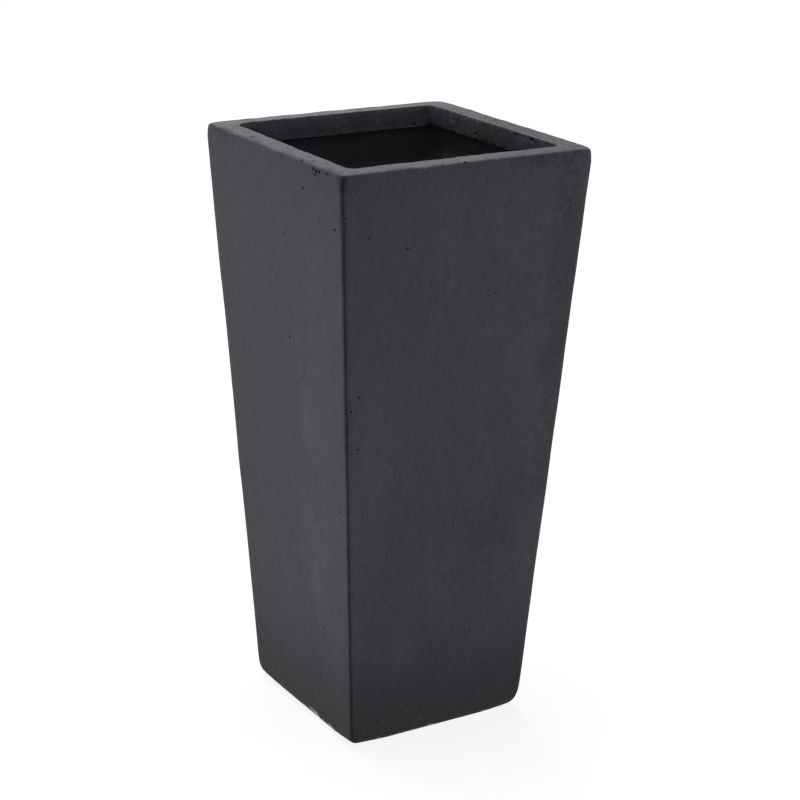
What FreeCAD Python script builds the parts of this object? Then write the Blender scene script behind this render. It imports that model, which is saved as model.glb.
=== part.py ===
import FreeCAD, Part
import math
import os

# A tall tapered square planter, laid up by hand in a mould from fibre cement, with a rubber drain plug.
# Millimetres, +Z up. The origin is on the ground, under the middle of the planter.
# The front is the -Y side and the left is the -X side.

# Outline of the moulding
HEIGHT = 604.0
TOP_WIDTH = 280.0  # outside, across the rim
BASE_WIDTH = 202.0  # outside, where the lines of the walls meet the ground
EDGE_ROUND = 4.0  # upright corner edges
BASE_ROUND = 13.0  # edge between a wall and the underside

# Rim and lip
RIM_WIDTH = 24.5  # flat top, from the outside to the mouth
LIP_DEPTH = 22.0  # the thick part of the wall below the rim
RIM_ROUND = 3.0  # outer edge of the flat top
MOUTH_ROUND = 1.5  # inner edge of the flat top, which is crisper
MOUTH_CORNER = 5.0  # corners of the mouth, in plan

# Lay-up, from the mould inwards
COAT = 4.0  # pigmented face coat
FOOT_COAT = 3.0  # least face coat between the rounded foot and the mats
MAT = 1.0  # glass-fibre mat
BACKING = 6.0  # backing coat on the walls
BACKING_FLOOR = 11.0  # backing coat on the floor
SOIL_ROUND = 10.0  # trowelled inner edges of the soil space, upright and round its floor

# Drain hole and its plug
DRAIN_DIAMETER = 25.0
PLUG_CLEARANCE = 0.1  # radial, between the stem and the hole
PLUG_RECESS = 3.0  # from the underside up to the end of the stem
STEM_CHAMFER = 2.0  # lead-in at the end of the stem
FLANGE_DIAMETER = 38.0
FLANGE_THICKNESS = 4.0
FLANGE_CHAMFER = 1.5  # top edge of the flange
GROOVE_COUNT = 2  # round the stem, which leaves ribs that grip the hole
GROOVE_WIDTH = 2.4
GROOVE_DEPTH = 0.6
DISH_DIAMETER = 29.0  # shallow dish in the top of the flange
DISH_DEPTH = 0.8
BUTTON_DIAMETER = 9.0  # in the middle of the dish, half as high as the dish is deep

# Insets of the layers from the outside, measured level
mat_inset = COAT
backing_inset = COAT + MAT
soil_inset = COAT + MAT + BACKING
lip_back_inset = RIM_WIDTH - COAT

# Heights of the layers. The mats end where the round of the foot still leaves FOOT_COAT around them.
foot_rise = math.sqrt(max((BASE_ROUND - FOOT_COAT) ** 2 - (BASE_ROUND - COAT) ** 2, 0.0))
coat_floor = max(BASE_ROUND - foot_rise, COAT)
mat_floor = coat_floor + MAT
soil_floor = mat_floor + BACKING_FLOOR
lip_under = HEIGHT - LIP_DEPTH
rim_under = HEIGHT - COAT

UP = FreeCAD.Vector(0, 0, 1)
ORIGIN = FreeCAD.Vector(0, 0, 0)
NEAR = 1e-6  # two heights or widths closer than this are the same


def half_width(z, inset):
    """Half the width of a layer at height z, where its inset from the outside is the same all the way up."""
    taper = (TOP_WIDTH - BASE_WIDTH) / (2.0 * HEIGHT)
    return BASE_WIDTH / 2.0 + taper * z - inset


def square_corners(half, z):
    """The four corners of a level square, anticlockwise from above."""
    return [FreeCAD.Vector(x * half, y * half, z) for x, y in ((-1, -1), (1, -1), (1, 1), (-1, 1))]


def flat_face(corners):
    return Part.Face(Part.makePolygon(corners + corners[:1]))


def tapered_block(inset, z_low, z_high):
    """A solid between two heights, whose flat sides run parallel to the outside of the planter."""
    low = square_corners(half_width(z_low, inset), z_low)
    high = square_corners(half_width(z_high, inset), z_high)
    faces = [flat_face(low[::-1]), flat_face(high)]
    for here in range(4):
        after = (here + 1) % 4
        faces.append(flat_face([low[here], low[after], high[after], high[here]]))
    return Part.Solid(Part.Shell(faces))


def is_level(edge):
    heights = [v.Z for v in edge.Vertexes]
    return max(heights) - min(heights) < NEAR


def level_edges(shape, z):
    """The edges of a solid that lie level at height z."""
    return [e for e in shape.Edges if is_level(e) and abs(e.Vertexes[0].Z - z) < NEAR]


def corner_edges(block):
    """The edges that rise along the corners of a block, round its foot too."""
    rising = [e for e in block.Edges if not is_level(e)]
    return [e for e in rising if all(abs(abs(v.X) - abs(v.Y)) < NEAR for v in e.Vertexes)]


def rim_edges(coat, outer):
    """The edges of the flat top: those of its outer side, or those round the mouth."""
    middle_line = half_width(HEIGHT, RIM_WIDTH / 2.0)
    return [e for e in level_edges(coat, HEIGHT)
            if all((max(abs(v.X), abs(v.Y)) > middle_line) == outer for v in e.Vertexes)]


def drain_hole():
    """The hole through every layer of the floor."""
    return Part.makeCylinder(DRAIN_DIAMETER / 2.0, soil_floor)


def make_outside():
    """The whole outside as one block: the foot is rounded first, then each corner edge all the way down."""
    block = tapered_block(0, 0, HEIGHT)
    block = block.makeFillet(BASE_ROUND, level_edges(block, 0))
    return block.makeFillet(EDGE_ROUND, corner_edges(block))


def make_face_coat():
    """The coloured skin: walls, underside, flat rim and the face that turns down inside the lip."""
    lip_face = tapered_block(lip_back_inset, lip_under, rim_under)
    lay_up_space = tapered_block(mat_inset, coat_floor, rim_under).cut(lip_face)
    mouth = tapered_block(RIM_WIDTH, lip_under, HEIGHT)
    mouth = mouth.makeFillet(MOUTH_CORNER, corner_edges(mouth))
    coat = make_outside().cut(lay_up_space).cut(mouth).cut(drain_hole())
    coat = coat.makeFillet(min(RIM_ROUND, 0.9 * EDGE_ROUND), rim_edges(coat, True))
    return coat.makeFillet(MOUTH_ROUND, rim_edges(coat, False))


def make_wall_mats():
    """Four mats, one on each wall, cut on the diagonals where they meet at the corners."""
    ring = tapered_block(mat_inset, mat_floor, rim_under)
    ring = ring.cut(tapered_block(backing_inset, mat_floor, rim_under))
    front_left, front_right = square_corners(TOP_WIDTH, 0)[:2]
    mats = {}
    for quarter, side in enumerate(("front", "right", "back", "left")):
        wedge = flat_face([ORIGIN, front_left, front_right])
        wedge.rotate(ORIGIN, UP, 90 * quarter)
        mats[side + "_mat"] = ring.common(wedge.extrude(UP * HEIGHT))
    return mats


def make_floor_mat():
    """The mat under the backing coat's floor, which the wall mats stand on."""
    return tapered_block(mat_inset, coat_floor, mat_floor).cut(drain_hole())


def make_backing_coat():
    """The thick inner coat that carries the load, with the soil space hollowed out of it."""
    block = tapered_block(backing_inset, mat_floor, rim_under)
    soil_space = tapered_block(soil_inset, soil_floor, lip_under)
    trowelled = level_edges(soil_space, soil_floor) + corner_edges(soil_space)
    soil_space = soil_space.makeFillet(SOIL_ROUND, trowelled)
    lip_space = tapered_block(soil_inset, lip_under, rim_under)
    return block.cut(soil_space).cut(lip_space).cut(drain_hole())


def make_rim_core():
    """The square ring of packed cement that thickens the lip, between the backing and the face coat."""
    block = tapered_block(soil_inset, lip_under, rim_under)
    return block.cut(tapered_block(lip_back_inset, lip_under, rim_under))


def make_drain_plug():
    """A rubber stopper: a ribbed stem through the floor and a dished flange that rests on it."""
    stem = DRAIN_DIAMETER / 2.0 - PLUG_CLEARANCE
    flange = FLANGE_DIAMETER / 2.0
    dish = DISH_DIAMETER / 2.0
    button = BUTTON_DIAMETER / 2.0
    top = soil_floor + FLANGE_THICKNESS
    shoulder = PLUG_RECESS + STEM_CHAMFER
    half_section = [(0, PLUG_RECESS), (stem - STEM_CHAMFER, PLUG_RECESS), (stem, shoulder)]
    for groove in range(1, GROOVE_COUNT + 1):
        middle = shoulder + (soil_floor - shoulder) * groove / (GROOVE_COUNT + 1)
        half_section += [
            (stem, middle - GROOVE_WIDTH / 2.0),
            (stem - GROOVE_DEPTH, middle - GROOVE_WIDTH / 2.0 + GROOVE_DEPTH),
            (stem - GROOVE_DEPTH, middle + GROOVE_WIDTH / 2.0 - GROOVE_DEPTH),
            (stem, middle + GROOVE_WIDTH / 2.0),
        ]
    half_section += [
        (stem, soil_floor),
        (flange, soil_floor),
        (flange, top - FLANGE_CHAMFER),
        (flange - FLANGE_CHAMFER, top),
        (dish + DISH_DEPTH, top),
        (dish, top - DISH_DEPTH),
        (button + DISH_DEPTH / 2.0, top - DISH_DEPTH),
        (button, top - DISH_DEPTH / 2.0),
        (0, top - DISH_DEPTH / 2.0),
    ]
    outline = flat_face([FreeCAD.Vector(x, 0, z) for x, z in half_section])
    return outline.revolve(ORIGIN, UP, 360)


def make_nodes():
    """Every piece of the planter, by name."""
    nodes = {"face_coat": make_face_coat()}
    nodes.update(make_wall_mats())
    nodes["floor_mat"] = make_floor_mat()
    nodes["backing_coat"] = make_backing_coat()
    nodes["rim_core"] = make_rim_core()
    nodes["drain_plug"] = make_drain_plug()
    return nodes


os.makedirs("parts", exist_ok=True)
for name, shape in make_nodes().items():
    piece = shape.removeSplitter()
    piece.exportStep(f"parts/{name}.step")
    print(f"{name}: {len(piece.Solids)} solid, {piece.Volume / 1000:.1f} cm3, valid {piece.isValid()}")
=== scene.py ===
# %% [markdown]
# # A tall charcoal planter
# The real object is a square floor planter. It is laid up by hand in a mould, from coloured cement and
# glass-fibre mat, and a rubber plug closes the drain hole in its floor.
# The solids of the part come in first. They give the main sizes and places, and they are never moved.
# Each visible layer is then modelled again, with the small faults that a hand-made thing has.

# %% Load the frame
import math
import random

import bmesh
import bpy
from mathutils import Matrix, Vector


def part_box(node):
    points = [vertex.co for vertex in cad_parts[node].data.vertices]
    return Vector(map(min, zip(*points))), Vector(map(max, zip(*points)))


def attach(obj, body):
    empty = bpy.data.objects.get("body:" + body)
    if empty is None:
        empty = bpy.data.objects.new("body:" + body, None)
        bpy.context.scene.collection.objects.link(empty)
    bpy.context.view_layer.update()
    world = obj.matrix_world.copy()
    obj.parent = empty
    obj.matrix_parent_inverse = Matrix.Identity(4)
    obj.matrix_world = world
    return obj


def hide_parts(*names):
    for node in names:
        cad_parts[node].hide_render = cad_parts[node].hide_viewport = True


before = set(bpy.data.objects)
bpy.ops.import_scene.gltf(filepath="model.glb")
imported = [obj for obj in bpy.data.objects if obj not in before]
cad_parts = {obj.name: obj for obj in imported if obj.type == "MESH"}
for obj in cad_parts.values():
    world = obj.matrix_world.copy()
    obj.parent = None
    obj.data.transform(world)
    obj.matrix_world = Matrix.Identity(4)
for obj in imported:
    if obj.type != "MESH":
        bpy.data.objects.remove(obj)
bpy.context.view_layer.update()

print("solids:", sorted(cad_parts))

# %% [markdown]
# The main sizes are read off the solids, so that the scene and the part agree.
# Every layer of the wall leans by the same amount. The top edge of the floor mat and the top edge of
# the backing give two points of that line, and with them the width of the outside at any height.

# %% Read the sizes
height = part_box("face_coat")[1].z
lip_under, rim_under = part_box("rim_core")[0].z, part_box("rim_core")[1].z
mat_low, mat_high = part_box("floor_mat")
backing_low, backing_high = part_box("backing_coat")
plug_low, plug_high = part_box("drain_plug")
coat = height - rim_under
mat = mat_high.z - mat_low.z
coat_floor = mat_low.z

half_low = mat_high.x + coat
half_high = backing_high.x + coat + mat
lean = (half_high - half_low) / (backing_high.z - mat_high.z)
tilt = math.atan(lean)


def outside(z):
    """Half the width of the planter at height z."""
    return half_low + lean * (z - mat_high.z)


print(f"height {height:.4f}, rim {2 * outside(height):.4f}, base {2 * outside(0):.4f}, coat {coat:.4f} m")

# %% [markdown]
# A few sizes can't be read from boxes, such as the rounds of the edges, so they are named here.

# %% Name the other sizes
RIM_WIDTH = 0.0245
EDGE_ROUND = 0.0026  # of the ring under the foot; it grows with the ring to 4 mm at the rim
BASE_ROUND = 0.013
RIM_ROUND = 0.0026  # outer edge of the rim
MOUTH_ROUND = 0.0012  # inner edge of the rim, which is crisper
BACKING = 0.006
SOIL_ROUND = 0.010
DRAIN_RADIUS = 0.0125
FLANGE = 0.004
soil_floor = plug_high.z - FLANGE


def mouth(z):
    """Half the width of the mouth at height z."""
    return outside(z) - RIM_WIDTH


def lip_back(z):
    """Half the width of the hidden side of the lip's skin."""
    return mouth(z) + coat


print(f"mouth {2 * mouth(height):.4f}, floor of the soil space at {soil_floor:.4f} m")

# %% [markdown]
# A few small helpers stand in for the mouse. They select one piece, open it in edit mode, and pick
# points, edges or faces in it by a test of their place.

# %% Helpers for selecting
def close_piece():
    bpy.ops.object.mode_set(mode="OBJECT")


def clear_selection():
    if bpy.context.mode != "OBJECT":
        close_piece()
    bpy.ops.object.select_all(action="DESELECT")


def activate(piece):
    """Selects this piece alone, and makes it the active one."""
    clear_selection()
    piece.select_set(True)
    bpy.context.view_layer.objects.active = piece


def open_piece(piece):
    activate(piece)
    bpy.ops.object.mode_set(mode="EDIT")


def pick(piece, kind, test):
    """In edit mode, selects the VERT, EDGE or FACE parts that pass the test, and nothing else."""
    bpy.ops.mesh.select_mode(type=kind)
    bpy.ops.mesh.select_all(action="DESELECT")
    mesh = bmesh.from_edit_mesh(piece.data)
    parts = {"VERT": mesh.verts, "EDGE": mesh.edges, "FACE": mesh.faces}[kind]
    found = [part for part in parts if test(part)]
    for part in found:
        part.select_set(True)
    mesh.select_flush_mode()
    bmesh.update_edit_mesh(piece.data)
    return len(found)


def divide(piece, test, cuts):
    """Divides the edges that pass the test, and gives their number."""
    count = pick(piece, "EDGE", test)
    bpy.ops.mesh.subdivide(number_cuts=cuts)
    return count


def turn_outwards():
    bpy.ops.mesh.select_all(action="SELECT")
    bpy.ops.mesh.normals_make_consistent(inside=False)


# %% [markdown]
# Tests of place need a few measures: how far a point is from the middle line, whether an edge lies
# level at some height, and how much of an edge runs in or out.

# %% Helpers for measuring
NEAR = 1e-5  # heights and widths closer than this are the same


def reach(point):
    """How far a point is from the middle line, measured square to the nearest wall."""
    return max(abs(point.x), abs(point.y))


def both_ends(edge, test):
    return all(test(point.co) for point in edge.verts)


def level_at(edge, z):
    return both_ends(edge, lambda point: abs(point.z - z) < NEAR)


def inward(edge):
    return abs(reach(edge.verts[0].co) - reach(edge.verts[1].co))


# %% [markdown]
# The wall of the planter is a square ring at every height, so it can be drawn as one ring that is
# extruded and scaled again and again, as a potter draws up a wall. The ring starts as a plane whose
# corners are bevelled. Its face is deleted, and its long sides get points for the waves that come later.

# %% Helpers for drawing up a wall
CORNER_STEPS = 5


def start_ring(name, half, corner, z, cuts):
    """A level ring of edges, square with round corners."""
    clear_selection()
    bpy.ops.mesh.primitive_plane_add(size=2 * half, location=(0, 0, 0))
    piece = bpy.context.active_object
    piece.name = piece.data.name = name
    bpy.ops.object.mode_set(mode="EDIT")
    bpy.ops.mesh.select_all(action="SELECT")
    bpy.ops.mesh.bevel(offset=corner, segments=CORNER_STEPS, affect="VERTICES")
    bpy.ops.mesh.delete(type="ONLY_FACE")
    divide(piece, lambda edge: edge.calc_length() > half, cuts)
    bpy.ops.mesh.select_all(action="SELECT")
    bpy.ops.transform.translate(value=(0, 0, z))
    return piece


def draw_up(outline):
    """Extrudes the selected ring along an outline of (half width, height) points, from first to last."""
    for (half, z), (next_half, next_z) in zip(outline, outline[1:]):
        bpy.ops.mesh.extrude_edges_move(TRANSFORM_OT_translate={"value": (0, 0, next_z - z)})
        share = next_half / half
        bpy.ops.transform.resize(value=(share, share, 1), center_override=(0, 0, 0))


def to_circle(piece, middle, radius):
    """Lays the selected points, which are level with the middle, on a circle round it."""
    bpy.ops.transform.tosphere(value=1, center_override=middle)
    mesh = bmesh.from_edit_mesh(piece.data)
    gaps = [(point.co - Vector(middle)).length for point in mesh.verts if point.select]
    share = radius * len(gaps) / sum(gaps)
    bpy.ops.transform.resize(value=(share, share, 1), center_override=middle)


def to_drain(piece, half, z, end_z):
    """Extrudes the selected square ring inwards, level, to a circle, and then down the drain hole."""
    draw_up([(half, z), (2 * DRAIN_RADIUS, z)])
    to_circle(piece, (0, 0, z), DRAIN_RADIUS)
    draw_up([(DRAIN_RADIUS, z), (DRAIN_RADIUS, end_z)])


def arc(middle, radius, start, stop, steps):
    """Points of an outline round an arc. Angles are in degrees, from level outwards."""
    turns = [math.radians(start + (stop - start) * step / steps) for step in range(steps + 1)]
    return [(middle[0] + radius * math.cos(t), middle[1] + radius * math.sin(t)) for t in turns]


def close_shell(piece, z):
    """Bridges the first and the last ring, which both lie at height z, and turns the faces outwards."""
    pick(piece, "EDGE", lambda edge: level_at(edge, z))
    bpy.ops.mesh.bridge_edge_loops()
    bpy.ops.mesh.select_all(action="SELECT")
    bpy.ops.mesh.remove_doubles(threshold=0.1 * NEAR)
    turn_outwards()


# %% [markdown]
# ## The face coat
# This is the coloured skin that lies against the mould: underside, rounded foot, leaning walls, flat rim
# and the face that turns down inside the lip. Its outline starts under the foot, goes up the outside,
# over the rim, down the lip, and back down the hidden inner side to the drain hole.

# %% Draw up the face coat
SIDE_CUTS = 76  # points along each side of the ring

degrees = math.degrees(tilt)
upright = math.cos(tilt)
foot_middle = (outside(BASE_ROUND) - BASE_ROUND / upright, BASE_ROUND)
rim_middle = (outside(height - RIM_ROUND) - RIM_ROUND / upright, height - RIM_ROUND)
mouth_middle = (mouth(height) + MOUTH_ROUND / upright, height - MOUTH_ROUND)

outline = arc(foot_middle, BASE_ROUND, -90, -degrees, steps=7)
outline += arc(rim_middle, RIM_ROUND, -degrees, 90, steps=5)
mouth_rings = arc(mouth_middle, MOUTH_ROUND, 90, 180 - degrees, steps=4)
mouth_rings += [(mouth(lip_under), lip_under)]
outline += mouth_rings
outline += [
    (lip_back(lip_under), lip_under),
    (lip_back(rim_under), rim_under),
    (outside(rim_under) - coat, rim_under),
    (outside(coat_floor) - coat, coat_floor),
]

face_coat = start_ring("face_coat_skin", outline[0][0], EDGE_ROUND, outline[0][1], SIDE_CUTS)
draw_up(outline)
to_drain(face_coat, *outline[-1], 0)
close_shell(face_coat, 0)
print("face coat:", len(bmesh.from_edit_mesh(face_coat.data).faces), "faces before it is divided")

# %% [markdown]
# The corners of the mouth are rounded with a wet sponge, each a little differently. On each ring of the
# lip, To Sphere lays the points of a corner on a circle, and a resize gives it the right radius.

# %% Round the corners of the mouth
MOUTH_CORNERS = [(-1, -1, 0.008), (1, -1, 0.009), (1, 1, 0.006), (-1, 1, 0.014)]  # signs of x and y, radius


def round_corner(piece, ring, corner):
    """Rounds one corner of one ring of the mouth, and gives the number of its points."""
    half, z = ring
    x, y, radius = corner
    inner = half - radius

    def in_corner(point):
        on_ring = abs(point.co.z - z) < NEAR and reach(point.co) < half + 10 * NEAR
        return on_ring and x * point.co.x > inner and y * point.co.y > inner

    count = pick(piece, "VERT", in_corner)
    to_circle(piece, (x * inner, y * inner, z), radius)
    return count


moved = [round_corner(face_coat, ring, corner) for ring in mouth_rings for corner in MOUTH_CORNERS]
print("points laid on", len(moved), "arcs of the mouth:", sum(moved))

# %% [markdown]
# A mould is filled by hand, so the walls are never quite flat. Waves need points to move, so the long
# faces of the walls, the rim and the lip are divided first.

# %% Divide the long faces
SLACK = 0.001  # room in the tests that tell one surface from another


def outer_skin(point):
    return reach(point) > outside(point.z) - 0.6 * coat


def in_mouth(point):
    return reach(point) < mouth(point.z) + SLACK


def leaning(edge):
    return both_ends(edge, outer_skin) and edge.calc_length() > 0.5 * height


def across_rim(edge):
    return level_at(edge, height) and inward(edge) > 0.5 * RIM_WIDTH


def down_lip(edge):
    drop = abs(edge.verts[0].co.z - edge.verts[1].co.z)
    return both_ends(edge, in_mouth) and drop > 0.6 * (height - lip_under)


WALL_CUTS, RIM_CUTS, LIP_CUTS = 132, 4, 5

counts = []
for test, cuts in ((leaning, WALL_CUTS), (across_rim, RIM_CUTS), (down_lip, LIP_CUTS)):
    counts.append(divide(face_coat, test, cuts))
close_piece()
print("edges divided on walls, rim and lip:", counts, "faces now:", len(face_coat.data.polygons))

# %% [markdown]
# Displace modifiers push the surface in and out along its normals, by cloud textures. A vertex group says
# how strongly, point by point. Slow waves belong to the mould, and they fade out towards the rim. The rim
# itself is struck off with a board and rubbed by hand, so its waves are shorter. They go almost only
# inwards, so that the planter keeps its size.

# %% Give the skin its waves
SOLE = 0.0015  # the planter stands on this much of its foot, which stays flat
WALL_STOP = 0.004  # the waves of the walls end this far below the rim
WALL_FADE = 0.04  # and they fade out over this height
RIM_FADE = 0.015  # the waves of the rim fade out over this height, down the walls


def fade(distance, length):
    """1 at no distance, falling smoothly to 0."""
    share = min(1.0, max(0.0, distance / length))
    return 1.0 - share * share * (3.0 - 2.0 * share)


def wall_share(point):
    if point.z < SOLE or not outer_skin(point):
        return 0.0
    return min(1.0, max(0.0, height - WALL_STOP - point.z) / WALL_FADE)


def rim_share(point):
    on_lip = point.z > lip_under + 10 * NEAR and in_mouth(point)
    if on_lip or point.z > height - 0.5 * coat:
        return 1.0
    return fade(height - point.z, RIM_FADE) if outer_skin(point) else 0.0


def weigh(piece, share_of):
    """Stores each point's share, from 0 to 1, in a vertex group, and gives the group's name."""
    group = piece.vertex_groups.new(name="share")
    for point in piece.data.vertices:
        group.add([point.index], share_of(point.co), "REPLACE")
    return group.name


def apply_all(piece):
    """Applies the modifiers in their order, and clears the vertex groups that they used."""
    activate(piece)
    for modifier in list(piece.modifiers):
        bpy.ops.object.modifier_apply(modifier=modifier.name)
    piece.vertex_groups.clear()


def add_waves(piece, share_of, waves):
    """Displaces a piece by cloud textures. Each wave is a name, a length, a height and its middle level."""
    group = weigh(piece, share_of)
    for name, length, wave_height, middle in waves:
        clouds = bpy.data.textures.new(name, "CLOUDS")
        clouds.noise_scale = length
        clouds.noise_depth = 1
        wave = piece.modifiers.new(name, "DISPLACE")
        wave.texture = clouds
        wave.texture_coords = "LOCAL"
        wave.vertex_group = group
        wave.mid_level = middle
        wave.strength = wave_height
    apply_all(piece)


add_waves(face_coat, wall_share, (("mould_waves", 0.11, 0.0014, 0.5), ("wall_waves", 0.030, 0.0004, 0.5)))
add_waves(face_coat, rim_share, (("rim_waves", 0.026, 0.0010, 0.9), ("rim_grit", 0.009, 0.0006, 0.9)))
print("highest point of the rim:", round(max(point.co.z for point in face_coat.data.vertices), 5))

# %% [markdown]
# Corners wear first. A Smooth modifier pulls points together and so blunts the shape, and a vertex group
# lets it fade out: at the four corners of the foot and of the rim, and along two of the upright edges.

# %% Blunt the corners
FOOT_ALONG, FOOT_UP = 0.045, 0.026  # how far the wear of each corner goes along the walls, and up or down
RIM_ALONG, RIM_DOWN = 0.022, 0.016
EDGE_CORE, EDGE_FADE = 0.005, 0.010
LEFT_CORNER = 0.35  # the left corner of the foot has kept more of its shape
FOOT_TIMES, EDGE_TIMES, RIM_TIMES = 56, 4, 32  # how often the points are smoothed


def corner_gap(point):
    """How far a point is from the nearest upright edge, along the walls."""
    return outside(point.z) - min(abs(point.x), abs(point.y))


def foot_corner(point):
    underside = point.z < coat_floor - 0.5 * SLACK
    if point.z < 0.1 * SLACK or not (outer_skin(point) or underside):
        return 0.0
    worn = LEFT_CORNER if point.x < 0 < point.y else 1.0
    return worn * fade(corner_gap(point), FOOT_ALONG) * fade(point.z, FOOT_UP)


def side_edge(point):
    on_two = outer_skin(point) and point.x * point.y < 0
    return fade(corner_gap(point) - EDGE_CORE, EDGE_FADE) if on_two else 0.0


def rim_corner(point):
    outer_half = point.z > height - 0.5 * coat and reach(point) > outside(point.z) - 0.5 * RIM_WIDTH
    if outer_half or outer_skin(point):
        return fade(corner_gap(point), RIM_ALONG) * fade(height - point.z, RIM_DOWN)
    return 0.0


for share_of, rounds in ((foot_corner, FOOT_TIMES), (side_edge, EDGE_TIMES), (rim_corner, RIM_TIMES)):
    smooth = face_coat.modifiers.new("blunt", "SMOOTH")
    smooth.factor = 0.5
    smooth.iterations = rounds
    smooth.vertex_group = weigh(face_coat, share_of)
    apply_all(face_coat)
print("corners blunted on", len(face_coat.data.vertices), "points")

# %% [markdown]
# The lip along the back is a few millimetres thinner than the others, and the left lip gets thinner
# towards the front. The points of the back lip are moved back and those of the left one are turned
# about its far end, each time with the points of the hidden side.

# %% Thin two sides of the lip
THIN = 0.005
LEFT_TURN = math.radians(0.72)
LEFT_END = (-0.115, 0.09, height)
LIP_SIDE = 0.1  # a point of the lip that is further out than this belongs to that side


def in_lip(point):
    inner_part = reach(point.co) < outside(point.co.z) - 0.75 * RIM_WIDTH
    return inner_part and point.co.z > lip_under - 10 * NEAR


def thin_lip(piece):
    """Gives how many points of the back and of the left lip were moved."""
    open_piece(piece)
    counts = [pick(piece, "VERT", lambda point: in_lip(point) and point.co.y > LIP_SIDE)]
    bpy.ops.transform.translate(value=(0, THIN, 0))
    counts.append(pick(piece, "VERT", lambda point: in_lip(point) and point.co.x < -LIP_SIDE))
    bpy.ops.transform.rotate(value=LEFT_TURN, orient_axis="Z", center_override=LEFT_END)
    close_piece()
    return counts


print("points moved on the back and the left of the lip:", thin_lip(face_coat))

# %% [markdown]
# The lip is packed against a strip of wood that is pulled away while the cement is wet, so its lower
# edge is ragged. Random moves of that one row of points, smoothed a little, give such an edge.

# %% Make the edge of the lip ragged
def ragged(piece, test, amount, seed):
    """Shakes the points that pass the test, and smooths them a little."""
    open_piece(piece)
    count = pick(piece, "VERT", test)
    bpy.ops.transform.vertex_random(offset=amount, uniform=1, normal=0, seed=seed)
    bpy.ops.mesh.vertices_smooth(factor=0.5, repeat=2)
    close_piece()
    return count


def lip_edge(point):
    inner_part = reach(point.co) < outside(lip_under) - 0.8 * RIM_WIDTH
    return inner_part and abs(point.co.z - lip_under) < 10 * NEAR


print("points moved on the edge of the lip:", ragged(face_coat, lip_edge, amount=0.0018, seed=11))

# %% [markdown]
# ## The backing
# The thick inner coat is trowelled on by hand behind the mats. It forms the soil space, with soft
# round corners, and it carries the load. It is drawn up in the same way as the skin, up the hidden
# outside and down the inside.

# %% Draw up the backing
INNER_CUTS = 40  # points along each side of the ring
INNER_CORNER = 0.8 * SOIL_ROUND


def behind_mat(z):
    return outside(z) - coat - mat


def soil(z):
    return behind_mat(z) - BACKING


soil_middle = (soil(soil_floor + SOIL_ROUND) - SOIL_ROUND / upright, soil_floor + SOIL_ROUND)
backing_outline = [
    (behind_mat(backing_low.z), backing_low.z),
    (behind_mat(rim_under), rim_under),
    (soil(rim_under), rim_under),
    (soil(lip_under), lip_under),
]
backing_outline += arc(soil_middle, SOIL_ROUND, -degrees, -90, steps=5)
backing = start_ring("backing_trowelled", backing_outline[0][0], INNER_CORNER, backing_low.z, INNER_CUTS)
draw_up(backing_outline)
to_drain(backing, *backing_outline[-1], backing_low.z)
close_shell(backing, backing_low.z)
print("backing:", len(bmesh.from_edit_mesh(backing.data).faces), "faces before it is divided")

# %% [markdown]
# No mould shaped the inner side, so its waves are larger than those of the skin: long ones from the
# trowel's sweep and short ones from its edge. They fade out round the drain hole, where the plug sits.

# %% Trowel the backing
INNER_WALL_CUTS, INNER_FLOOR_CUTS = 90, 12
FLOOR_EDGE = 0.03  # edges of the floor that are longer than this are divided
DRAIN_FADE = 0.02


def in_soil(point):
    return reach(point) < soil(point.z) + SLACK


def inner_wall(edge):
    return both_ends(edge, in_soil) and edge.calc_length() > 0.5 * height


def inner_floor(edge):
    return level_at(edge, soil_floor) and edge.calc_length() > FLOOR_EDGE and inward(edge) > 0


def trowel_share(point):
    from_drain = math.hypot(point.x, point.y) - 2 * DRAIN_RADIUS
    hidden = point.z > lip_under - SLACK or point.z < soil_floor - 0.5 * SLACK
    if hidden or from_drain < 0 or not in_soil(point):
        return 0.0
    return min(1.0, from_drain / DRAIN_FADE)


divide(backing, inner_wall, INNER_WALL_CUTS)
divide(backing, inner_floor, INNER_FLOOR_CUTS)
close_piece()
trowel = (("trowel_waves", 0.06, 0.0030, 0.5), ("trowel_marks", 0.018, 0.0016, 0.5))
add_waves(backing, trowel_share, trowel)
print("backing:", len(backing.data.polygons), "faces")

# %% [markdown]
# The core of the lip is cement that is packed in last, behind the strip of wood. Only its rough
# underside can be seen, from below or through the mouth. It is a square ring, drawn up like the others.

# %% Pack the core of the lip
CORE_CUTS = 3


def under_core(edge):
    return level_at(edge, lip_under) and inward(edge) > 0.5 * (BACKING + mat)


core_outline = [
    (soil(lip_under), lip_under),
    (soil(rim_under), rim_under),
    (lip_back(rim_under), rim_under),
    (lip_back(lip_under), lip_under),
]
rim_core = start_ring("rim_core_packed", core_outline[0][0], INNER_CORNER, lip_under, INNER_CUTS)
draw_up(core_outline)
close_shell(rim_core, lip_under)
divide(rim_core, under_core, CORE_CUTS)
print("points moved on the back and the left of the core:", thin_lip(rim_core))
shaken = ragged(rim_core, lambda point: abs(point.co.z - lip_under) < NEAR, amount=0.0022, seed=4)
print("points moved under the core:", shaken)

# %% [markdown]
# ## The drain plug
# A soft rubber stopper closes the hole in the floor. It is round, so it is drawn up like the walls, but
# from a filled circle. Two grooves round the stem leave ribs that grip the hole, and the flange on
# top has a shallow dish and a small button in the middle, where the rubber entered its mould.

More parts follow.
